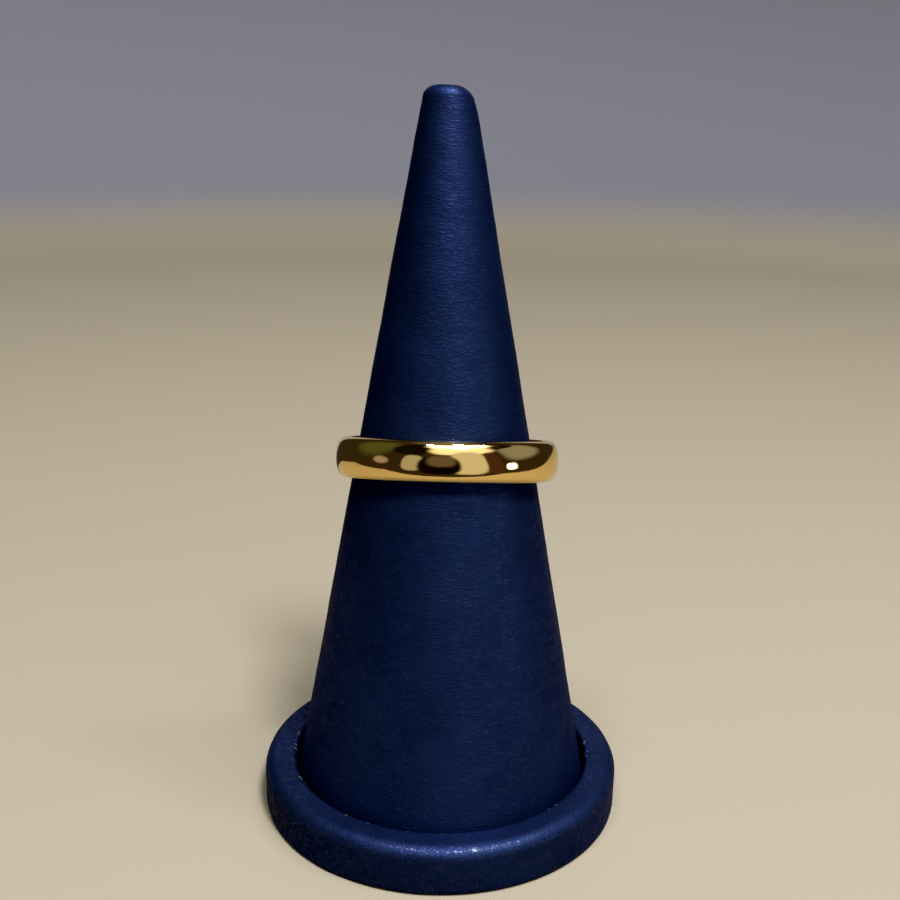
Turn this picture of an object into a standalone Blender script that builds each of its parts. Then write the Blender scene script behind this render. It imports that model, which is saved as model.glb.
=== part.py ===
"""A polished gold stackable ring, resting askew on a leather-covered ring cone with a rimmed round base.

Metres, +Z up. The origin is the centre of the base's underside, and the front faces -Y.
"""

from math import atan, cos, pi, radians, sin, tan

import bmesh
import bpy
from mathutils import Vector

MM = 0.001

# Ring band
RING_BORE_RADIUS = 9.22 * MM
RING_WIDTH = 3.7 * MM
RING_WALL = 1.25 * MM
RING_EDGE_WALL = 0.2 * MM
RING_BORE_CROWN = 0.22 * MM
RING_LEAN_BACK = radians(15.2)
RING_LEAN_SIDE = radians(0.6)
RING_SIDE_SHIFT = 0.25 * MM
RING_SEAT_GAP = 0.25 * MM

# Cone
CONE_TOP_HEIGHT = 68.6 * MM
CONE_TOP_RADIUS = 2.1 * MM
CONE_TOP_ROUNDING = 1.25 * MM
CONE_FOOT_ROUNDING = 0.3 * MM

# Base
BASE_RADIUS = 17.5 * MM
BASE_RIM_HEIGHT = 4.55 * MM
BASE_RIM_WIDTH = 2.9 * MM
BASE_FLOOR = 2.0 * MM
BASE_OUTER_ROUNDING = 1.4 * MM
BASE_INNER_ROUNDING = 0.5 * MM
BASE_FOOT_ROUNDING = 0.35 * MM

# Clearance between the cone's foot and the base around and under it
CONE_SEAT_GAP = 0.25 * MM

RING_SIDES = 96
STAND_SIDES = 72
DOME_STEPS = 12
BORE_STEPS = 4
ROUNDING_STEPS = 5

GOLD_COLOUR = (1.0, 0.66, 0.22, 1.0)
NAVY_COLOUR = (0.010, 0.022, 0.100, 1.0)


def clear_scene():
    for obj in list(bpy.data.objects):
        bpy.data.objects.remove(obj)


def surface(name, colour, roughness, metallic):
    """A Principled material of one colour."""
    material = bpy.data.materials.new(name)
    material.use_nodes = True
    shader = material.node_tree.nodes["Principled BSDF"]
    shader.inputs["Base Color"].default_value = colour
    shader.inputs["Roughness"].default_value = roughness
    shader.inputs["Metallic"].default_value = metallic
    return material


def rounding(centre, radius, start, end, steps=ROUNDING_STEPS):
    """Points (radius, height) along an arc from start to end, in degrees, both ends included."""
    turn = radians(end - start)
    return [
        (
            centre[0] + radius * cos(radians(start) + turn * i / steps),
            centre[1] + radius * sin(radians(start) + turn * i / steps),
        )
        for i in range(steps + 1)
    ]


def lathe(name, profile, sides, material, closed=False):
    """Turns a profile of (radius, height) points once round Z and returns it as an object."""
    shape = bmesh.new()
    points = [shape.verts.new((r, 0.0, z)) for r, z in profile]
    pairs = list(zip(points, points[1:]))
    if closed:
        pairs.append((points[-1], points[0]))
    edges = [shape.edges.new(pair) for pair in pairs]
    bmesh.ops.spin(
        shape,
        geom=points + edges,
        cent=(0.0, 0.0, 0.0),
        axis=(0.0, 0.0, 1.0),
        angle=2.0 * pi,
        steps=sides,
        use_merge=True,
    )
    bmesh.ops.remove_doubles(shape, verts=shape.verts, dist=1e-7)
    bmesh.ops.recalc_face_normals(shape, faces=shape.faces)
    mesh = bpy.data.meshes.new(name)
    shape.to_mesh(mesh)
    shape.free()
    mesh.shade_smooth()
    mesh.set_sharp_from_angle(angle=radians(40.0))
    mesh.materials.append(material)
    obj = bpy.data.objects.new(name, mesh)
    bpy.context.scene.collection.objects.link(obj)
    return obj


# Places that follow from the sizes
RECESS_RADIUS = BASE_RADIUS - BASE_RIM_WIDTH
CONE_FOOT_HEIGHT = BASE_FLOOR + CONE_SEAT_GAP
CONE_FOOT_RADIUS = RECESS_RADIUS - CONE_SEAT_GAP
CONE_TAPER = (CONE_FOOT_RADIUS - CONE_TOP_RADIUS) / (CONE_TOP_HEIGHT - CONE_FOOT_HEIGHT)


def ring_profile():
    """The band's section as (radius, height), a half-oval outside and a slightly crowned bore inside.

    It runs up the outside from the lower edge to the upper one, then down the bore.
    """
    half_width = RING_WIDTH / 2.0
    bore_edge = RING_BORE_RADIUS + RING_BORE_CROWN
    dome_foot = bore_edge + RING_EDGE_WALL
    dome_rise = RING_BORE_RADIUS + RING_WALL - dome_foot
    dome = [
        (
            dome_foot + dome_rise * cos(pi * (i / DOME_STEPS - 0.5)),
            half_width * sin(pi * (i / DOME_STEPS - 0.5)),
        )
        for i in range(DOME_STEPS + 1)
    ]
    bore = []
    for i in range(BORE_STEPS + 1):
        share = 1.0 - 2.0 * i / BORE_STEPS
        bore.append((RING_BORE_RADIUS + RING_BORE_CROWN * share**2, half_width * share))
    return dome + bore


def ring_seat():
    """Where the leaning ring's centre lies, so that its bore clears the cone by the seat gap.

    The upper edge of the bore meets the cone at the front, and the lower edge meets it at the back.
    """
    lean_cos, lean_sin = cos(RING_LEAN_BACK), sin(RING_LEAN_BACK)
    section = ring_profile()
    front = min(
        r * lean_cos - h * lean_sin + CONE_TAPER * (r * lean_sin + h * lean_cos) for r, h in section
    )
    back = min(
        r * lean_cos + h * lean_sin + CONE_TAPER * (h * lean_cos - r * lean_sin) for r, h in section
    )
    gap = RING_SEAT_GAP / cos(atan(CONE_TAPER))
    cone_radius = (front + back) / 2.0 - gap
    height = CONE_FOOT_HEIGHT + (CONE_FOOT_RADIUS - cone_radius) / CONE_TAPER
    return Vector((RING_SIDE_SHIFT, (front - back) / 2.0, height))


def make_ring(gold):
    ring = lathe("ring_band", ring_profile(), RING_SIDES, gold, closed=True)
    ring.location = ring_seat()
    ring.rotation_euler = (-RING_LEAN_BACK, RING_LEAN_SIDE, 0.0)
    return ring


def cone_profile():
    """From the centre of the foot, out and up the side, over the rounded top to its centre."""
    slope = atan(CONE_TAPER)
    foot_reach = CONE_FOOT_ROUNDING * tan((pi / 2.0 + slope) / 2.0)
    top_reach = CONE_TOP_ROUNDING * tan((pi / 2.0 - slope) / 2.0)
    slope_degrees = slope * 180.0 / pi
    foot_centre = (CONE_FOOT_RADIUS - foot_reach, CONE_FOOT_HEIGHT + CONE_FOOT_ROUNDING)
    top_centre = (CONE_TOP_RADIUS - top_reach, CONE_TOP_HEIGHT - CONE_TOP_ROUNDING)
    foot = rounding(foot_centre, CONE_FOOT_ROUNDING, -90.0, slope_degrees)
    top = rounding(top_centre, CONE_TOP_ROUNDING, slope_degrees, 90.0)
    return [(0.0, CONE_FOOT_HEIGHT)] + foot + top + [(0.0, CONE_TOP_HEIGHT)]


def make_cone(leather):
    return lathe("stand_cone", cone_profile(), STAND_SIDES, leather)


def base_profile():
    """From the centre of the underside, out, up over the rolled rim and down into the cone's recess."""
    outer_centre = (BASE_RADIUS - BASE_OUTER_ROUNDING, BASE_RIM_HEIGHT - BASE_OUTER_ROUNDING)
    inner_centre = (RECESS_RADIUS + BASE_INNER_ROUNDING, BASE_RIM_HEIGHT - BASE_INNER_ROUNDING)
    foot_centre = (BASE_RADIUS - BASE_FOOT_ROUNDING, BASE_FOOT_ROUNDING)
    return (
        [(0.0, 0.0)]
        + rounding(foot_centre, BASE_FOOT_ROUNDING, -90.0, 0.0)
        + rounding(outer_centre, BASE_OUTER_ROUNDING, 0.0, 90.0)
        + rounding(inner_centre, BASE_INNER_ROUNDING, 90.0, 180.0)
        + [(RECESS_RADIUS, BASE_FLOOR), (0.0, BASE_FLOOR)]
    )


def make_base(leather):
    return lathe("stand_base", base_profile(), STAND_SIDES, leather)


def main():
    clear_scene()
    gold = surface("polished_gold", GOLD_COLOUR, 0.08, 1.0)
    leather = surface("navy_leather", NAVY_COLOUR, 0.5, 0.0)
    make_base(leather)
    make_cone(leather)
    make_ring(gold)


main()
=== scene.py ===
"""Finishes and setting for a gold stackable ring on a leather ring cone.

It is laid out as a Blender add-on and works in metres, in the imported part's own frame.
"""

from math import atan, pi, radians, sin, cos, tan

import bmesh
import bpy
import numpy as np
from mathutils import Matrix, Vector


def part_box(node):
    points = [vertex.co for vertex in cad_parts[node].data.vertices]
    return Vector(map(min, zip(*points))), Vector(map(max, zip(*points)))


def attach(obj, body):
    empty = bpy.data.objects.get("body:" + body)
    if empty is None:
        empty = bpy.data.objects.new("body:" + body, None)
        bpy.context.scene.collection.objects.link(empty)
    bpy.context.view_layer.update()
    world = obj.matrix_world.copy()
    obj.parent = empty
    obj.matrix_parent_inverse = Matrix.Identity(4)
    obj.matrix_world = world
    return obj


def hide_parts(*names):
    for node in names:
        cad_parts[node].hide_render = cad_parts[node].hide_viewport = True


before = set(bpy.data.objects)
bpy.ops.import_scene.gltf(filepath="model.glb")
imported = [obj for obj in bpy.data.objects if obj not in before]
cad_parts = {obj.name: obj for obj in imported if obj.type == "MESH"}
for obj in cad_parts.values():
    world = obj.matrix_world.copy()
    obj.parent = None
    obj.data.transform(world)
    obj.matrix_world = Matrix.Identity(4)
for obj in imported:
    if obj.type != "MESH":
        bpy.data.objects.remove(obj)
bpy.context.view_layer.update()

bl_info = {
    "name": "Ring Cone Finishes",
    "version": (1, 0, 0),
    "blender": (4, 5, 0),
    "location": "3D View > Sidebar > Ring Cone",
    "description": "Builds the fine gold band, the leather cone and base, and their setting",
    "category": "Object",
}

MM = 0.001
BODY = "root"
UP = Vector((0.0, 0.0, 1.0))

CONE_LOW, CONE_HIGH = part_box("stand_cone")
BASE_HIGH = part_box("stand_base")[1]

# Measures that differ by less than this count as the same, and points this near are merged, in metres
SAME = 1e-6
MERGED = 1e-7


# Selecting and shaping


def start_piece():
    """Deselects everything, so that only the next piece is shaped."""
    bpy.ops.object.select_all(action="DESELECT")


def mesh_in_edit():
    return bmesh.from_edit_mesh(bpy.context.object.data)


def select_in_mesh(kind, test):
    """Selects only the vertices, edges or faces of the mesh in edit mode that pass the test."""
    bpy.ops.mesh.select_mode(type=kind)
    bpy.ops.mesh.select_all(action="DESELECT")
    mesh = mesh_in_edit()
    parts = {"VERT": mesh.verts, "EDGE": mesh.edges, "FACE": mesh.faces}[kind]
    for part in parts:
        if test(part):
            part.select_set(True)
    bmesh.update_edit_mesh(bpy.context.object.data)


def edge_middle(edge):
    return (edge.verts[0].co + edge.verts[1].co) / 2.0


def reach(point):
    """A point's distance from the Z axis."""
    return point.to_2d().length


def close(a, b):
    return abs(a - b) < SAME


def level_edge(height, distance, slack=0.05 * MM):
    """A test for the edges of a level circle at this height and distance from the Z axis."""
    return lambda e: (
        close(e.verts[0].co.z, height)
        and close(e.verts[1].co.z, height)
        and abs(reach(edge_middle(e)) - distance) < slack
    )


def round_edges(test, offset, segments):
    """Rounds the edges of the mesh in edit mode that pass the test."""
    select_in_mesh("EDGE", test)
    bpy.ops.mesh.bevel(offset=offset, segments=segments, affect="EDGES")


def finish_piece(piece, material, node):
    """Gives a finished mesh its material and its place in the frame."""
    bpy.ops.object.transform_apply(location=True, rotation=True, scale=True)
    bpy.ops.object.shade_smooth()
    piece.data.materials.clear()
    piece.data.materials.append(material)
    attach(piece, BODY)
    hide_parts(node)


def undulate(piece, name, height, size, stretch, detail):
    """Raises and sinks the surface by a soft cloud pattern, stretched along the axes, and applies it."""
    texture = bpy.data.textures.new(name, "CLOUDS")
    texture.noise_scale = size
    texture.noise_depth = detail
    guide = bpy.data.objects.new(name + "_guide", None)
    guide.scale = stretch
    bpy.context.scene.collection.objects.link(guide)
    bpy.context.view_layer.update()
    swell = piece.modifiers.new(name, "DISPLACE")
    swell.texture = texture
    swell.texture_coords = "OBJECT"
    swell.texture_coords_object = guide
    swell.strength = height
    swell.mid_level = 0.5
    bpy.ops.object.modifier_apply(modifier=swell.name)
    bpy.data.objects.remove(guide)
    bpy.data.textures.remove(texture)


def press(piece, place, push, spread):
    """Moves the surface round a place by the push, fading smoothly to nothing at the spread."""
    for vertex in piece.data.vertices:
        away = (vertex.co - place).length / spread
        if away < 1.0:
            vertex.co += push * (1.0 - away * away) ** 2


# Materials


class Value:
    """A number that changes over a surface. Arithmetic on it adds Math nodes."""

    def __init__(self, work, socket):
        self.work = work
        self.socket = socket

    def math(self, operation, *numbers):
        return self.work.node("ShaderNodeMath", {"operation": operation}, dict(enumerate(numbers)))

    def __add__(self, other):
        return self.math("ADD", self, other)

    __radd__ = __add__

    def __sub__(self, other):
        return self.math("SUBTRACT", self, other)

    def __rsub__(self, other):
        return self.math("SUBTRACT", other, self)

    def __mul__(self, other):
        return self.math("MULTIPLY", self, other)

    __rmul__ = __mul__

    def size(self):
        """The value without its sign."""
        return self.math("ABSOLUTE", self)

    def eased(self, low, high):
        """0 below low, 1 above high and a smooth rise between them."""
        values = {"Value": self, "From Min": low, "From Max": high}
        return self.work.node("ShaderNodeMapRange", {"interpolation_type": "SMOOTHSTEP"}, values)


class NodeWork:
    """The nodes of one material or of the surroundings."""

    def __init__(self, owner):
        owner.use_nodes = True
        self.tree = owner.node_tree

    def node(self, kind, settings=None, values=None, out=0):
        """Adds a node with its settings, fills its sockets and returns one of its outputs."""
        made = self.tree.nodes.new(kind)
        for name, setting in (settings or {}).items():
            setattr(made, name, setting)
        self.fill(made, values or {})
        return Value(self, made.outputs[out])

    def fill(self, node, values):
        for name, value in values.items():
            if isinstance(value, Value):
                self.tree.links.new(value.socket, node.inputs[name])
            else:
                node.inputs[name].default_value = value

    def mix(self, share, first, second):
        """A colour between two others."""
        return self.node("ShaderNodeMix", {"data_type": "RGBA"}, {0: share, 6: first, 7: second}, out=2)

    def vector(self, operation, values, out=0):
        """Arithmetic on points and directions."""
        return self.node("ShaderNodeVectorMath", {"operation": operation}, values, out)


class Finish(NodeWork):
    """A material and its nodes."""

    def __init__(self, name):
        self.material = bpy.data.materials.new(name)
        super().__init__(self.material)

    def surface(self, values):
        self.fill(self.tree.nodes["Principled BSDF"], values)
        return self.material

    def place_mm(self, stretch=(1.0, 1.0, 1.0)):
        """The point on the piece in millimetres, drawn out along each axis by its stretch."""
        point = self.node("ShaderNodeTexCoord", out="Object")
        scale = tuple(1.0 / (MM * share) for share in stretch)
        return self.node("ShaderNodeMapping", {}, {"Vector": point, "Scale": scale})

    def noise(self, place, size, detail=2.0, roughness=0.5, distortion=0.0, out=0):
        """A noise pattern whose lumps are about size millimetres across."""
        values = {
            "Vector": place,
            "Scale": 1.0 / size,
            "Detail": detail,
            "Roughness": roughness,
            "Distortion": distortion,
        }
        return self.node("ShaderNodeTexNoise", {}, values, out)

    def cells(self, place, size, feature="F1"):
        """Distance inside cells that are about size millimetres across."""
        values = {"Vector": place, "Scale": 1.0 / size}
        return self.node("ShaderNodeTexVoronoi", {"feature": feature}, values)

    def bump(self, height, distance, over=None):
        """A surface tilted by a height of 0 to 1 that stands for this distance in metres."""
        values = {"Height": height, "Distance": distance, "Strength": 1.0}
        if over is not None:
            values["Normal"] = over
        return self.node("ShaderNodeBump", {}, values)


# What wear and buffing lines add to the gold: share of the worn colour, roughness, height in metres
WEAR_TINT = 0.35
WEAR_ROUGHNESS = 0.05
BUFFING_ROUGHNESS = 0.02
BUFFING_HEIGHT = 0.0000012


def polished_gold(settings):
    """Yellow gold with a mirror polish, faint buffing lines and a few soft wear marks."""
    finish = Finish("polished_yellow_gold")
    place = finish.place_mm()
    ripple = finish.noise(place, settings.ripple_size / MM, detail=1.0)
    buffing = finish.noise(finish.place_mm((6.0, 6.0, 0.35)), 0.12, detail=3.0, roughness=0.6)
    wear = finish.noise(place, 1.7, detail=4.0, roughness=0.6).eased(0.52, 0.74)
    tint = finish.mix(wear * WEAR_TINT, tuple(settings.gold_colour), tuple(settings.gold_shade))
    rough = settings.polish + wear * WEAR_ROUGHNESS + buffing * BUFFING_ROUGHNESS
    waved = finish.bump(ripple, settings.ripple_height)
    return finish.surface(
        {
            "Base Color": tint,
            "Metallic": 1.0,
            "Roughness": rough,
            "Normal": finish.bump(buffing, BUFFING_HEIGHT, over=waved),
        }
    )


# Shares of the pebbles, the wrinkles and the pores in the leather's relief, and the heights in that
# relief between which the colour goes from the painted shade in the creases to the dye of the raised grain
PEBBLE_SHARE = 0.26
WRINKLE_SHARE = 0.72
PORE_SHARE = 0.5
CREASE_HEIGHT = 0.52
GRAIN_HEIGHT = 1.02

# Roughness that the creases and the soft mottling add, then how strongly the pale patches, the dark
# patches and the specks show
CREASE_ROUGHNESS = 0.08
MOTTLE_ROUGHNESS = 0.10
BLOOM_SHARE = 0.4
DARK_SHARE = 0.25
SPECK_SHARE = 0.14


def glints(finish, place, radius_mm):
    """Painted glints along a circle at this distance from the Z axis, broken into short runs: pale crumbs
    of finish that also stand in for highlights caught on the rim's inner edge.
    """
    flat = finish.vector("MULTIPLY", {0: place, 1: (1.0, 1.0, 0.0)})
    near = (finish.vector("LENGTH", {0: flat}, out="Value") - radius_mm).size().eased(0.35, 0.12)
    crumbs = finish.cells(place, 0.6).eased(0.34, 0.18)
    broken = finish.noise(place, 1.6, detail=1.0).eased(0.48, 0.56)
    return near * crumbs * broken


def navy_leather(name, settings, stretch, lacquer, glint_ring=None):
    """Pearly navy leather: small pebbles and short creases with painted shade in them, pores, soft
    mottling, a few pale specks and, along the glint ring when one is given, painted glints.
    """
    finish = Finish(name)
    place = finish.place_mm()
    drawn = finish.place_mm(stretch)
    grain_mm = settings.grain_size / MM
    wander = finish.noise(drawn, grain_mm * 1.3, detail=2.0, out="Color")
    shift = finish.vector("SUBTRACT", {0: wander, 1: (0.5, 0.5, 0.5)})
    shift = finish.vector("SCALE", {0: shift, "Scale": grain_mm * 1.6})
    warped = finish.vector("ADD", {0: drawn, 1: shift})
    pebbles = finish.cells(warped, grain_mm, "DISTANCE_TO_EDGE").eased(0.0, 0.34)
    wrinkles = finish.noise(drawn, grain_mm * 2.2, detail=3.0, roughness=0.6, distortion=0.5)
    pores = finish.noise(place, grain_mm * 0.4, detail=2.0, roughness=0.6)
    mottle = finish.noise(place, 6.0, detail=3.0, roughness=0.55)
    patches = finish.noise(place, 1.6, detail=2.0)

    height = pebbles * PEBBLE_SHARE + wrinkles * WRINKLE_SHARE + pores * PORE_SHARE
    raised = height.eased(CREASE_HEIGHT, GRAIN_HEIGHT)
    # Painted shade: the creases take the darker crease colour, and only the raised grain keeps the dye
    dyed_with_crease_shade = finish.mix(raised, tuple(settings.crease_shade_and_patch_colour), tuple(settings.dye_colour))
    clouded = finish.mix(mottle.eased(0.35, 0.7) * BLOOM_SHARE, dyed_with_crease_shade, tuple(settings.bloom_colour))
    shade = finish.mix(patches.eased(0.45, 0.75) * DARK_SHARE, clouded, tuple(settings.crease_shade_and_patch_colour))
    rough = settings.sheen_roughness + (1.0 - raised) * CREASE_ROUGHNESS
    rough = rough + (mottle - 0.5) * MOTTLE_ROUGHNESS
    top_coat = raised.math("POWER", raised, 2.0) * lacquer

    dots = finish.cells(place, settings.speck_spacing / MM)
    specks_and_glints = dots.eased(0.045, 0.02) * SPECK_SHARE
    if glint_ring is not None:
        # Painted highlights: the pale glints along the rim's inner edge join the dust specks
        specks_and_glints = specks_and_glints.math("MAXIMUM", specks_and_glints, glints(finish, place, glint_ring / MM))
    shade = finish.mix(specks_and_glints, shade, tuple(settings.speck_and_glint_colour))
    return finish.surface(
        {
            "Base Color": shade,
            "Metallic": settings.pearl,
            "Roughness": rough,
            "Specular IOR Level": settings.gloss,
            "Specular Tint": tuple(settings.gloss_tint),
            "Coat Weight": top_coat,
            "Coat Roughness": settings.lacquer_roughness,
            "Normal": finish.bump(height, settings.grain_depth),
        }
    )


# Shade on the floor round the base: the radius of its dark core and of its outer end, in millimetres,
# and the share of the floor's colour that is left in the core
SHADE_CORE = 18.0
SHADE_END = 56.0
SHADE_LEFT = 0.50

# Height in millimetres over which the backdrop fades from the floor's colour to its own
FADE_HEIGHT = 24.0

MATT = {"Roughness": 0.9, "Specular IOR Level": 0.1}


def shaded_floor(name, colour):
    """The floor's colour, darker in the shade close round the base."""
    finish = Finish(name)
    out = finish.vector("LENGTH", {0: finish.place_mm()}, out="Value")
    shaded = tuple(share * SHADE_LEFT for share in colour[:3])
    tint = finish.mix(out.eased(SHADE_CORE, SHADE_END), (*shaded, 1.0), tuple(colour))
    return finish.surface({"Base Color": tint, **MATT})


def matt_card(name, low_colour, high_colour):
    """Matt card that fades from one colour at the floor to another above it."""
    finish = Finish(name)
    height = finish.node("ShaderNodeSeparateXYZ", {}, {0: finish.place_mm()}, out="Z")
    tint = finish.mix(height.eased(0.0, FADE_HEIGHT), tuple(low_colour), tuple(high_colour))
    return finish.surface({"Base Color": tint, **MATT})


# Settings


class BandSettings(bpy.types.PropertyGroup):
    """Sizes and finish of the gold band."""

    edge_wall: bpy.props.FloatProperty(
        name="Edge wall",
        description="Flat width of the band's edges, between the dome and the bore",
        default=0.2 * MM,
        unit="LENGTH",
        precision=5,
    )
    corner_softness: bpy.props.FloatProperty(
        name="Corner softness",
        description="Width of the softened corner between an edge and the bore",
        default=0.11 * MM,
        unit="LENGTH",
        precision=5,
    )
    section_points: bpy.props.IntProperty(
        name="Section points", description="Points round the band's section", default=72, min=16
    )
    turn_steps: bpy.props.IntProperty(
        name="Turn steps", description="Steps once round the finger hole", default=320, min=32
    )
    gold_colour: bpy.props.FloatVectorProperty(
        name="Gold",
        description="Colour of the polished gold",
        subtype="COLOR",
        size=4,
        default=(0.94, 0.70, 0.31, 1.0),
    )
    gold_shade: bpy.props.FloatVectorProperty(
        name="Worn gold",
        description="Colour of its worn patches",
        subtype="COLOR",
        size=4,
        default=(0.90, 0.64, 0.26, 1.0),
    )
    polish: bpy.props.FloatProperty(
        name="Polish",
        description="Roughness of the polished face",
        default=0.035,
        min=0.0,
        max=1.0,
        subtype="FACTOR",
    )
    ripple_size: bpy.props.FloatProperty(
        name="Ripple size",
        description="Distance between the polish's soft ripples",
        default=2.4 * MM,
        unit="LENGTH",
    )
    ripple_height: bpy.props.FloatProperty(
        name="Ripple height",
        description="Height of those ripples",
        default=0.012 * MM,
        unit="LENGTH",
        precision=6,
    )


class LeatherSettings(bpy.types.PropertyGroup):
    """Sizes and finish of the leather cone and base."""

    tip_radius: bpy.props.FloatProperty(
        name="Tip radius",
        description="Radius that the cone's side runs out to at its top",
        default=2.1 * MM,
        unit="LENGTH",
    )
    foot_radius: bpy.props.FloatProperty(
        name="Foot radius",
        description="Radius of the cone's side at its foot",
        default=14.35 * MM,
        unit="LENGTH",
    )
    tip_rounding: bpy.props.FloatProperty(
        name="Tip rounding",
        description="Radius of the rounding round the tip",
        default=0.95 * MM,
        unit="LENGTH",
    )
    foot_rounding: bpy.props.FloatProperty(
        name="Foot rounding",
        description="Radius of the rounding round the cone's foot",
        default=0.3 * MM,
        unit="LENGTH",
    )
    rim_width: bpy.props.FloatProperty(
        name="Rim width", description="Width of the base's rim", default=2.98 * MM, unit="LENGTH"
    )
    recess_floor: bpy.props.FloatProperty(
        name="Recess floor",
        description="Height of the floor inside the rim",
        default=2.0 * MM,
        unit="LENGTH",
    )
    rim_outer_rounding: bpy.props.FloatProperty(
        name="Outer rounding",
        description="Radius of the rim's outer edge",
        default=1.15 * MM,
        unit="LENGTH",
    )
    rim_inner_rounding: bpy.props.FloatProperty(
        name="Inner rounding",
        description="Radius of the rim's inner edge",
        default=0.4 * MM,
        unit="LENGTH",
    )
    underside_rounding: bpy.props.FloatProperty(
        name="Underside rounding",
        description="Radius of the base's lowest edge",
        default=0.35 * MM,
        unit="LENGTH",
    )
    grain_size: bpy.props.FloatProperty(
        name="Grain size",
        description="Distance between the leather's creases",
        default=0.31 * MM,
        unit="LENGTH",
        precision=5,
    )
    grain_depth: bpy.props.FloatProperty(
        name="Grain depth",
        description="Depth of the leather's creases",
        default=0.039 * MM,
        unit="LENGTH",
        precision=5,
    )
    dye_colour: bpy.props.FloatVectorProperty(
        name="Dye",
        description="Colour of the raised grain",
        subtype="COLOR",
        size=4,
        default=(0.0255, 0.0450, 0.131, 1.0),
    )
    # Painted shade down in the creases; the random dark patches take the same colour
    crease_shade_and_patch_colour: bpy.props.FloatVectorProperty(
        name="Crease",
        description="Colour down in the creases",
        subtype="COLOR",
        size=4,
        default=(0.0175, 0.0315, 0.095, 1.0),
    )
    bloom_colour: bpy.props.FloatVectorProperty(
        name="Bloom",
        description="Colour of its paler patches",
        subtype="COLOR",
        size=4,
        default=(0.031, 0.054, 0.155, 1.0),
    )
    sheen_roughness: bpy.props.FloatProperty(
        name="Satin",
        description="Roughness of the raised grain",
        default=0.52,
        min=0.0,
        max=1.0,
        subtype="FACTOR",
    )
    gloss: bpy.props.FloatProperty(
        name="Gloss",
        description="Strength of the leather's shine",
        default=0.2,
        min=0.0,
        max=1.0,
        subtype="FACTOR",
    )
    pearl: bpy.props.FloatProperty(
        name="Pearl",
        description="Share of the shine that takes the dye's colour",
        default=0.88,
        min=0.0,
        max=1.0,
        subtype="FACTOR",
    )
    gloss_tint: bpy.props.FloatVectorProperty(
        name="Gloss tint",
        description="Tint of the shine at the leather's edges",
        subtype="COLOR",
        size=4,
        default=(0.5, 0.43, 0.55, 1.0),
    )
    cone_lacquer: bpy.props.FloatProperty(
        name="Cone lacquer",
        description="Strength of the cone's clear top coat",
        default=0.18,
        min=0.0,
        max=1.0,
        subtype="FACTOR",
    )
    base_lacquer: bpy.props.FloatProperty(
        name="Base lacquer",
        description="Strength of the base's clear top coat",
        default=0.8,
        min=0.0,
        max=1.0,
        subtype="FACTOR",
    )
    lacquer_roughness: bpy.props.FloatProperty(
        name="Lacquer satin",
        description="Roughness of the clear top coat",
        default=0.24,
        min=0.0,
        max=1.0,
        subtype="FACTOR",
    )
    speck_spacing: bpy.props.FloatProperty(
        name="Speck spacing",
        description="Distance between pale specks of dust",
        default=2.6 * MM,
        unit="LENGTH",
    )
    # Pale colour of the dust specks, also used for the painted glints along the rim's inner edge
    speck_and_glint_colour: bpy.props.FloatVectorProperty(
        name="Speck",
        description="Colour of the pale specks",
        subtype="COLOR",
        size=4,
        default=(0.32, 0.38, 0.5, 1.0),
    )


class StageSettings(bpy.types.PropertyGroup):
    """The floor, the lights and the camera."""

    floor_colour: bpy.props.FloatVectorProperty(
        name="Floor",
        description="Colour of the floor",
        subtype="COLOR",
        size=4,
        default=(0.34, 0.31, 0.255, 1.0),
    )
    mirrored_colour: bpy.props.FloatVectorProperty(
        name="Mirrored floor",
        description="Colour of the floor that the gold reflects",
        subtype="COLOR",
        size=4,
        default=(0.31, 0.275, 0.205, 1.0),
    )
    backdrop_colour: bpy.props.FloatVectorProperty(
        name="Backdrop",
        description="Colour of the backdrop above the floor",
        subtype="COLOR",
        size=4,
        default=(0.235, 0.24, 0.295, 1.0),
    )
    backdrop_radius: bpy.props.FloatProperty(
        name="Backdrop radius",
        description="Where the backdrop leaves the floor",
        default=0.38,
        unit="LENGTH",
    )
    light_strength: bpy.props.FloatProperty(
        name="Light", description="Strength of the soft surroundings", default=1.0, min=0.0
    )
    black_point: bpy.props.FloatProperty(
        name="Black point",
        description="Light that the view shows as black",
        default=0.0052,
        min=0.0,
        precision=4,
    )
    contrast_look: bpy.props.StringProperty(
        name="Look", description="Contrast of the view", default="Medium High Contrast"
    )
    camera_lens: bpy.props.FloatProperty(
        name="Lens",
        description="Focal length on a 36 mm wide sensor, in millimetres",
        default=48.0,
        min=1.0,
    )
    camera_distance: bpy.props.FloatProperty(
        name="Distance",
        description="From the camera to the point that it looks at",
        default=112.3 * MM,
        unit="LENGTH",
    )
    camera_pitch: bpy.props.FloatProperty(
        name="Pitch",
        description="How far the camera looks down",
        default=radians(17.0),
        unit="ROTATION",
    )
    camera_roll: bpy.props.FloatProperty(
        name="Roll",
        description="How far the camera is turned about its line of sight",
        default=0.0145,
        unit="ROTATION",
    )
    look_at: bpy.props.FloatVectorProperty(
        name="Look at",
        description="The point that the camera looks at",
        subtype="XYZ",
        unit="LENGTH",
        default=(0.52 * MM, 0.0, 35.9 * MM),
    )


# Pieces


def ring_measures():
    """The band's centre, axis, outer radius, half width and the bore's radius at its edge and middle."""
    points = np.array([v.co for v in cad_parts["ring_band"].data.vertices])
    centre = points.mean(0)
    spread, directions = np.linalg.eigh(np.cov((points - centre).T))
    axis = directions[:, 0] * np.sign(directions[2, 0])
    along = (points - centre) @ axis
    out = np.linalg.norm(points - centre - np.outer(along, axis), axis=1)
    half_width = along.max()
    bore_edge = out[np.isclose(np.abs(along), half_width, atol=SAME)].min()
    return Vector(centre), Vector(axis), out.max(), half_width, bore_edge, out.min()


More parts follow.
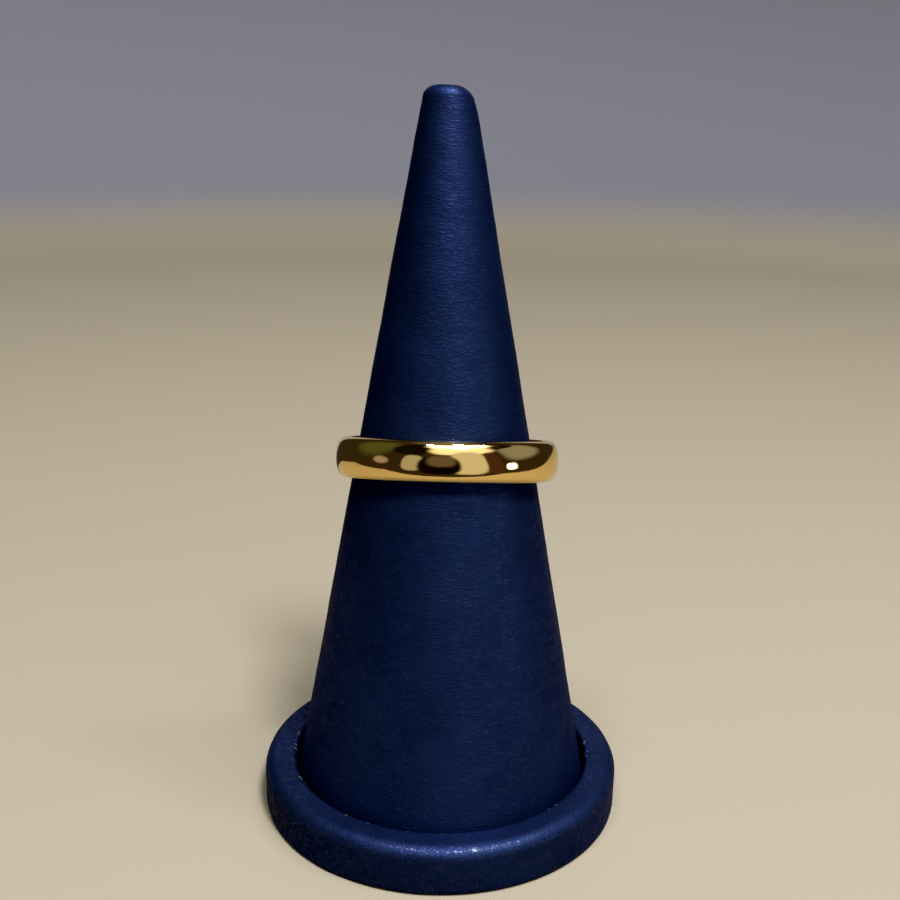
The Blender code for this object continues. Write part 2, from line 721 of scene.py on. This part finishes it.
class RINGCONE_OT_band(bpy.types.Operator):
    """Models the band's section, turns it round and lays it on the cone"""

    bl_idname = "ringcone.band"
    bl_label = "Gold Band"

    def execute(self, context):
        settings = context.scene.ringcone_band
        centre, axis, outer, half_width, bore_edge, bore = ring_measures()
        dome_foot = bore_edge + settings.edge_wall
        start_piece()
        bpy.ops.mesh.primitive_circle_add(
            vertices=settings.section_points, radius=half_width, rotation=(pi / 2.0, 0.0, 0.0)
        )
        band = context.object
        band.name = "gold_band"
        bpy.ops.object.transform_apply(location=True, rotation=True, scale=True)
        bpy.ops.object.mode_set(mode="EDIT")

        dome_share = (outer - dome_foot) / half_width
        bore_share = (bore_edge - bore) / half_width
        select_in_mesh("VERT", lambda v: v.co.x > -MERGED)
        bpy.ops.transform.resize(value=(dome_share, 1.0, 1.0), center_override=(0, 0, 0))
        select_in_mesh("VERT", lambda v: v.co.x <= -MERGED)
        bpy.ops.transform.resize(value=(bore_share, 1.0, 1.0), center_override=(0, 0, 0))
        bpy.ops.transform.translate(value=(-settings.edge_wall, 0.0, 0.0))
        corner = max(v.co.z for v in mesh_in_edit().verts if v.co.x < -settings.edge_wall)
        select_in_mesh("VERT", lambda v: v.co.x < -settings.edge_wall and close(abs(v.co.z), corner))
        bpy.ops.mesh.bevel(offset=settings.corner_softness, segments=4, affect="VERTICES")

        bpy.ops.mesh.select_all(action="SELECT")
        bpy.ops.transform.translate(value=(dome_foot, 0.0, 0.0))
        bpy.ops.mesh.spin(steps=settings.turn_steps, angle=2.0 * pi, center=(0, 0, 0), axis=(0, 0, 1))
        bpy.ops.mesh.select_all(action="SELECT")
        bpy.ops.mesh.remove_doubles(threshold=MERGED)
        bpy.ops.mesh.normals_make_consistent(inside=False)
        bpy.ops.object.mode_set(mode="OBJECT")

        band.rotation_mode = "QUATERNION"
        band.rotation_quaternion = UP.rotation_difference(axis)
        band.location = centre
        finish_piece(band, polished_gold(settings), "ring_band")
        return {"FINISHED"}


class RINGCONE_OT_cone(bpy.types.Operator):
    """Models the leather cone with its rounded tip, its fine undulations and a small scuff"""

    bl_idname = "ringcone.cone"
    bl_label = "Leather Cone"

    sides = 264
    rows = 250
    # The leather's waves: name, height and size in millimetres, stretch along the axes, detail
    waves = (
        ("slack", 0.10, 7.0, (1.0, 1.0, 1.0), 1),
        ("wrinkles", 0.045, 0.7, (3.0, 3.0, 1.0), 2),
    )
    grain_stretch = (2.8, 2.8, 1.0)
    # Small uneven places, given one by one, in millimetres: where, how far the surface moves, and how wide
    presses = (
        ((-6.55, -6.98, 28.5), (-0.08, -0.09, 0.0), 0.5),
        ((-6.15, -7.33, 28.05), (-0.10, -0.11, 0.0), 0.5),
        ((-5.78, -7.68, 27.6), (-0.08, -0.09, 0.0), 0.5),
        ((-6.05, -7.38, 28.5), (0.10, 0.11, 0.0), 0.5),
        ((-5.7, -7.66, 28.1), (0.09, 0.10, 0.0), 0.45),
        ((-0.5, -0.9, 68.6), (0.0, 0.0, 0.06), 1.3),
        ((-1.8, -0.3, 68.5), (0.03, 0.0, -0.12), 1.1),
        ((2.2, -0.3, 68.5), (-0.08, 0.0, -0.46), 2.4),
    )

    def execute(self, context):
        settings = context.scene.ringcone_leather
        low, high = CONE_LOW.z, CONE_HIGH.z
        slope = atan((settings.foot_radius - settings.tip_radius) / (high - low))
        tip_reach = settings.tip_rounding * tan((pi / 2.0 - slope) / 2.0)
        foot_reach = settings.foot_rounding * tan((pi / 2.0 + slope) / 2.0)
        start_piece()
        bpy.ops.mesh.primitive_cone_add(
            vertices=self.sides,
            radius1=settings.foot_radius,
            radius2=settings.tip_radius,
            depth=high - low,
            end_fill_type="NGON",
            location=(0.0, 0.0, (low + high) / 2.0),
        )
        cone = context.object
        cone.name = "leather_cone"
        bpy.ops.object.transform_apply(location=True, rotation=True, scale=True)
        bpy.ops.object.mode_set(mode="EDIT")

        round_edges(level_edge(high, settings.tip_radius), tip_reach, 12)
        round_edges(level_edge(low, settings.foot_radius), foot_reach, 4)
        select_in_mesh("EDGE", lambda e: abs(e.verts[0].co.z - e.verts[1].co.z) > (high - low) / 2.0)
        bpy.ops.mesh.subdivide(number_cuts=self.rows)
        select_in_mesh("FACE", lambda f: len(f.verts) > 4)
        bpy.ops.mesh.poke()
        bpy.ops.object.mode_set(mode="OBJECT")

        for name, height, size, stretch, detail in self.waves:
            undulate(cone, name, height * MM, size * MM, stretch, detail)
        for place, push, spread in self.presses:
            press(cone, Vector(place) * MM, Vector(push) * MM, spread * MM)
        leather = navy_leather("navy_leather_cone", settings, self.grain_stretch, settings.cone_lacquer)
        finish_piece(cone, leather, "stand_cone")
        return {"FINISHED"}


class RINGCONE_OT_base(bpy.types.Operator):
    """Models the leather base with its rolled rim and the recess that takes the cone's foot"""

    bl_idname = "ringcone.base"
    bl_label = "Leather Base"

    sides = 384
    # The leather's waves: name, height and size in millimetres, stretch along the axes, detail
    waves = (
        ("slack", 0.08, 5.0, (1.0, 1.0, 1.0), 1),
        ("wrinkles", 0.035, 0.9, (1.0, 1.0, 1.0), 2),
    )
    grain_stretch = (0.9, 0.9, 0.75)
    glint_offset = 0.1 * MM

    def execute(self, context):
        settings = context.scene.ringcone_leather
        radius, top = BASE_HIGH.x, BASE_HIGH.z
        recess = radius - settings.rim_width
        start_piece()
        bpy.ops.mesh.primitive_cylinder_add(
            vertices=self.sides,
            radius=radius,
            depth=top,
            end_fill_type="NGON",
            location=(0.0, 0.0, top / 2.0),
        )
        base = context.object
        base.name = "leather_base"
        bpy.ops.object.transform_apply(location=True, rotation=True, scale=True)
        bpy.ops.object.mode_set(mode="EDIT")

        select_in_mesh("FACE", lambda f: f.normal.z > 0.9)
        bpy.ops.mesh.inset(thickness=settings.rim_width)
        bpy.ops.mesh.extrude_region_move(
            TRANSFORM_OT_translate={"value": (0.0, 0.0, settings.recess_floor - top)}
        )

        round_edges(level_edge(top, radius), settings.rim_outer_rounding, 14)
        round_edges(level_edge(top, recess), settings.rim_inner_rounding, 7)
        round_edges(level_edge(0.0, radius), settings.underside_rounding, 4)

        def runs_across(edge):
            """Whether the edge runs a long way over the rim's top or down its sides."""
            a, b = edge.verts[0].co, edge.verts[1].co
            long_enough = (a - b).length > 0.8 * MM
            return long_enough and reach(a) > recess - 0.1 * MM and reach(b) > recess - 0.1 * MM

        select_in_mesh("EDGE", runs_across)
        bpy.ops.mesh.subdivide(number_cuts=8)
        bpy.ops.object.mode_set(mode="OBJECT")

        for name, height, size, stretch, detail in self.waves:
            undulate(base, name, height * MM, size * MM, stretch, detail)
        # Where the painted glints run, just outside the edge of the recess
        glint_ring = recess + self.glint_offset
        leather = navy_leather(
            "navy_leather_base", settings, self.grain_stretch, settings.base_lacquer, glint_ring
        )
        finish_piece(base, leather, "stand_base")
        return {"FINISHED"}


# Soft cards round the stage, by compass: middle turn (0 is the camera's side, 90 the right), middle
# height, half width and half height in degrees, squareness (2 is an oval), softness of the edge as a
# share of the half width, then the colour of their light
CARDS = (
    ("far card", 180.0, 22.0, 26.0, 44.0, 4.0, 0.3, (0.34, 0.34, 0.35)),
    ("right card", 93.0, 27.0, 28.0, 20.0, 3.0, 0.7, (0.26, 0.27, 0.29)),
    ("olive card", -94.0, 32.0, 25.0, 23.0, 2.0, 0.8, (0.095, 0.115, 0.048)),
    ("left lamp", -71.0, 5.0, 9.0, 7.0, 2.0, 0.6, (0.33, 0.29, 0.31)),
    ("left dark", -47.0, 50.0, 23.0, 25.0, 3.0, 0.4, (0.016, 0.015, 0.014)),
    ("right dark", 84.0, 50.0, 28.0, 9.0, 4.0, 0.5, (0.02, 0.015, 0.01)),
    ("front overhead", 20.0, 47.0, 42.0, 15.0, 3.0, 0.6, (1.1, 1.06, 0.95)),
    ("high glow", 26.0, 62.0, 58.0, 10.0, 3.0, 0.7, (2.2, 2.15, 2.0)),
    ("overhead strip", 22.0, 66.0, 56.0, 2.6, 5.0, 0.4, (8.5, 8.3, 7.8)),
    ("right panel", 23.0, 10.0, 20.0, 31.0, 3.0, 0.4, (0.58, 0.57, 0.54)),
    ("left panel", -36.0, 7.0, 10.5, 19.0, 3.0, 0.35, (0.38, 0.38, 0.35)),
    ("right strip", 50.0, 8.0, 8.0, 26.0, 5.0, 0.3, (0.075, 0.043, 0.036)),
    ("dark arch", -8.0, 3.0, 22.0, 25.0, 2.5, 0.25, (0.012, 0.010, 0.008)),
    ("arch middle", -6.0, 15.5, 15.0, 14.0, 2.5, 0.6, (0.145, 0.12, 0.105)),
    ("white lamp", 68.0, -3.0, 6.0, 6.5, 3.0, 0.3, (3.0, 3.4, 3.4)),
)

# Lamps overhead: turn and height in degrees, width in metres, then the brightness of their face
LAMPS = (
    (25.0, 58.0, 0.10, 94.0),
    (-41.0, 70.0, 0.05, 60.0),
    (76.0, 62.0, 0.045, 55.0),
    (42.0, 77.0, 0.05, 60.0),
)

# The part of the floor that the gold and the leather's gloss see, as corners (x, y) in millimetres
# Its notch at the back left leaves the floor out where shade lies on it, so that reflections there show
# the dark surroundings as painted shade
GLOSS_FLOOR = (
    (-125, -66), (98, -66), (137, 12), (245, 198), (260, 420),
    (-20, 420), (-18, 180), (-15, 76), (-100, 84), (-180, 45),
)

# Faint glow of the surroundings behind the cards: below, at the sides and overhead
GLOW_BELOW = (0.05, 0.040, 0.028, 1.0)
GLOW_AROUND = (0.045, 0.036, 0.028, 1.0)
GLOW_ABOVE = (0.20, 0.19, 0.17, 1.0)

# The turn straight behind the object, where turns change sign
BEHIND = 180.0

# The floor, the point that the lamps are aimed at, and how far from it they hang, in metres
FLOOR_RADIUS = 1.5
FLOOR_DROP = 0.1 * MM
STAGE_MIDDLE = Vector((0.0, 0.0, 34.0 * MM))
LAMP_DISTANCE = 0.5
LAMP_COLOUR = (1.0, 0.97, 0.92)

# The backdrop's outer radius and its curve as shares of the radius where it starts, then its height
# in metres
SWEEP_REACH = 1.5
SWEEP_CURVE = 0.45
SWEEP_HEIGHT = 1.2


class Surroundings(NodeWork):
    """The world's light by direction. Its cards are seen in the gold and light the leather."""

    def __init__(self, world):
        super().__init__(world)
        direction = self.node("ShaderNodeTexCoord", out="Generated")
        x, y, z = (self.node("ShaderNodeSeparateXYZ", {}, {0: direction}, out=axis) for axis in "XYZ")
        self.turn = x.math("ARCTAN2", x, 0.0 - y) * (180.0 / pi)
        self.height = z.math("ARCSINE", z) * (180.0 / pi)
        self.colour = self.mix(self.height.eased(-40.0, 10.0), GLOW_BELOW, GLOW_AROUND)
        self.colour = self.mix(self.height.eased(62.0, 80.0), self.colour, GLOW_ABOVE)

    def hang(self, turn, height, half_width, half_height, squareness, softness, colour):
        """Lays one soft-edged card over what is there."""
        across = BEHIND - self.turn.size() if turn == BEHIND else (self.turn - turn).size()
        across = across * (1.0 / half_width)
        up = (self.height - height).size() * (1.0 / half_height)
        out = across.math("POWER", across, squareness) + up.math("POWER", up, squareness)
        self.colour = self.mix(out.eased(1.0 + softness, 1.0 - softness), self.colour, (*colour, 1.0))

    def finish(self, strength):
        self.fill(self.tree.nodes["Background"], {"Color": self.colour, "Strength": strength})


def stage_place(turn, height, distance):
    """A point at this distance from the middle of the object, by turn and height in degrees."""
    turn, height = radians(turn), radians(height)
    out = Vector((cos(height) * sin(turn), -cos(height) * cos(turn), sin(height)))
    return STAGE_MIDDLE + out * distance


class RINGCONE_OT_stage(bpy.types.Operator):
    """Sets the floor, the backdrop, the soft surroundings, the small lamps and the camera"""

    bl_idname = "ringcone.stage"
    bl_label = "Stage"

    def execute(self, context):
        settings = context.scene.ringcone_stage
        self.lay_floor(settings)
        self.hang_backdrop(settings)
        self.light_surroundings(context, settings)
        self.hang_lamps()
        self.place_camera(context, settings)
        context.scene.view_settings.view_transform = "Standard"
        context.scene.view_settings.look = settings.contrast_look
        context.scene.view_settings.use_curve_mapping = True
        context.scene.view_settings.curve_mapping.black_level = (settings.black_point,) * 3
        context.scene.view_settings.curve_mapping.update()
        return {"FINISHED"}

    def lay_floor(self, settings):
        start_piece()
        bpy.ops.mesh.primitive_circle_add(
            vertices=96, radius=FLOOR_RADIUS, fill_type="NGON", location=(0.0, 0.0, -FLOOR_DROP)
        )
        floor = bpy.context.object
        floor.name = "pale_floor"
        colour = settings.floor_colour
        floor.data.materials.append(matt_card("pale_floor", colour, colour))
        floor.visible_diffuse = False
        floor.visible_glossy = False
        self.lay_gloss_floor(settings)

    def lay_gloss_floor(self, settings):
        """A floor that only reflections see, so that the gold's dark zone reaches down as it should."""
        start_piece()
        bpy.ops.mesh.primitive_circle_add(vertices=len(GLOSS_FLOOR), radius=0.1, fill_type="NGON")
        floor = bpy.context.object
        floor.name = "gloss_floor"
        for vertex, (x, y) in zip(floor.data.vertices, GLOSS_FLOOR):
            vertex.co = (x * MM, y * MM, 0.0)
        floor.data.materials.append(shaded_floor("gloss_floor", settings.mirrored_colour))
        for ray in ("camera", "diffuse", "shadow"):
            setattr(floor, "visible_" + ray, False)

    def hang_backdrop(self, settings):
        """A round sweep that only the camera sees, so that the surroundings' light passes through it."""
        start_piece()
        bpy.ops.mesh.primitive_circle_add(vertices=128, radius=settings.backdrop_radius)
        backdrop = bpy.context.object
        backdrop.name = "backdrop"
        bpy.ops.object.mode_set(mode="EDIT")
        bpy.ops.mesh.extrude_region_move()
        bpy.ops.transform.resize(value=(SWEEP_REACH, SWEEP_REACH, 1.0), center_override=(0, 0, 0))
        bpy.ops.mesh.extrude_region_move(TRANSFORM_OT_translate={"value": (0.0, 0.0, SWEEP_HEIGHT)})
        outer = level_edge(0.0, settings.backdrop_radius * SWEEP_REACH, 1.0 * MM)
        round_edges(outer, settings.backdrop_radius * SWEEP_CURVE, 16)
        bpy.ops.object.mode_set(mode="OBJECT")
        bpy.ops.object.shade_smooth()
        card = matt_card("backdrop", settings.floor_colour, settings.backdrop_colour)
        backdrop.data.materials.append(card)
        for ray in ("diffuse", "glossy", "transmission", "volume_scatter", "shadow"):
            setattr(backdrop, "visible_" + ray, False)

    def light_surroundings(self, context, settings):
        world = bpy.data.worlds.new("soft_surroundings")
        surroundings = Surroundings(world)
        for card in CARDS:
            surroundings.hang(*card[1:])
        surroundings.finish(settings.light_strength)
        context.scene.world = world

    def hang_lamps(self):
        for number, (turn, height, width, brightness) in enumerate(LAMPS):
            lamp = bpy.data.lights.new("lamp_%d" % number, "AREA")
            lamp.shape = "DISK"
            lamp.size = width
            lamp.energy = brightness * pi * pi * (width / 2.0) ** 2
            lamp.color = LAMP_COLOUR
            holder = bpy.data.objects.new(lamp.name, lamp)
            bpy.context.scene.collection.objects.link(holder)
            holder.location = stage_place(turn, height, LAMP_DISTANCE)
            holder.rotation_euler = (holder.location - STAGE_MIDDLE).to_track_quat("Z", "Y").to_euler()
            holder.visible_camera = False

    def place_camera(self, context, settings):
        camera = bpy.data.objects.new("photo_view", bpy.data.cameras.new("photo_view"))
        context.scene.collection.objects.link(camera)
        camera.data.sensor_width = 36.0
        camera.data.lens = settings.camera_lens
        camera.data.clip_start = 0.005
        camera.data.clip_end = 10.0
        pitch = settings.camera_pitch
        look_along = Vector((0.0, cos(pitch), -sin(pitch)))
        camera.location = Vector(settings.look_at) - look_along * settings.camera_distance
        roll = Matrix.Rotation(settings.camera_roll, 3, "Z")
        turn = look_along.to_track_quat("-Z", "Y").to_matrix() @ roll
        camera.rotation_euler = turn.to_euler()
        context.scene.camera = camera


class RINGCONE_PT_panel(bpy.types.Panel):
    """Lists the pieces in the order in which they are made"""

    bl_label = "Ring Cone"
    bl_idname = "RINGCONE_PT_panel"
    bl_space_type = "VIEW_3D"
    bl_region_type = "UI"
    bl_category = "Ring Cone"

    def draw(self, context):
        for step in STEPS:
            self.layout.operator(step.bl_idname)
        for name in SETTINGS:
            box = self.layout.box()
            group = getattr(context.scene, name)
            for value in group.bl_rna.properties.keys():
                if value not in ("rna_type", "name"):
                    box.prop(group, value)


STEPS = (RINGCONE_OT_base, RINGCONE_OT_cone, RINGCONE_OT_band, RINGCONE_OT_stage)
SETTINGS = {
    "ringcone_band": BandSettings,
    "ringcone_leather": LeatherSettings,
    "ringcone_stage": StageSettings,
}


def register():
    for kind in (*SETTINGS.values(), *STEPS, RINGCONE_PT_panel):
        bpy.utils.register_class(kind)
    for name, group in SETTINGS.items():
        setattr(bpy.types.Scene, name, bpy.props.PointerProperty(type=group))


def unregister():
    for name in SETTINGS:
        delattr(bpy.types.Scene, name)
    for kind in (RINGCONE_PT_panel, *STEPS, *SETTINGS.values()):
        bpy.utils.unregister_class(kind)


def main():
    register()
    bpy.ops.ringcone.base()
    bpy.ops.ringcone.cone()
    bpy.ops.ringcone.band()
    bpy.ops.ringcone.stage()


if __name__ == "__main__":
    main()
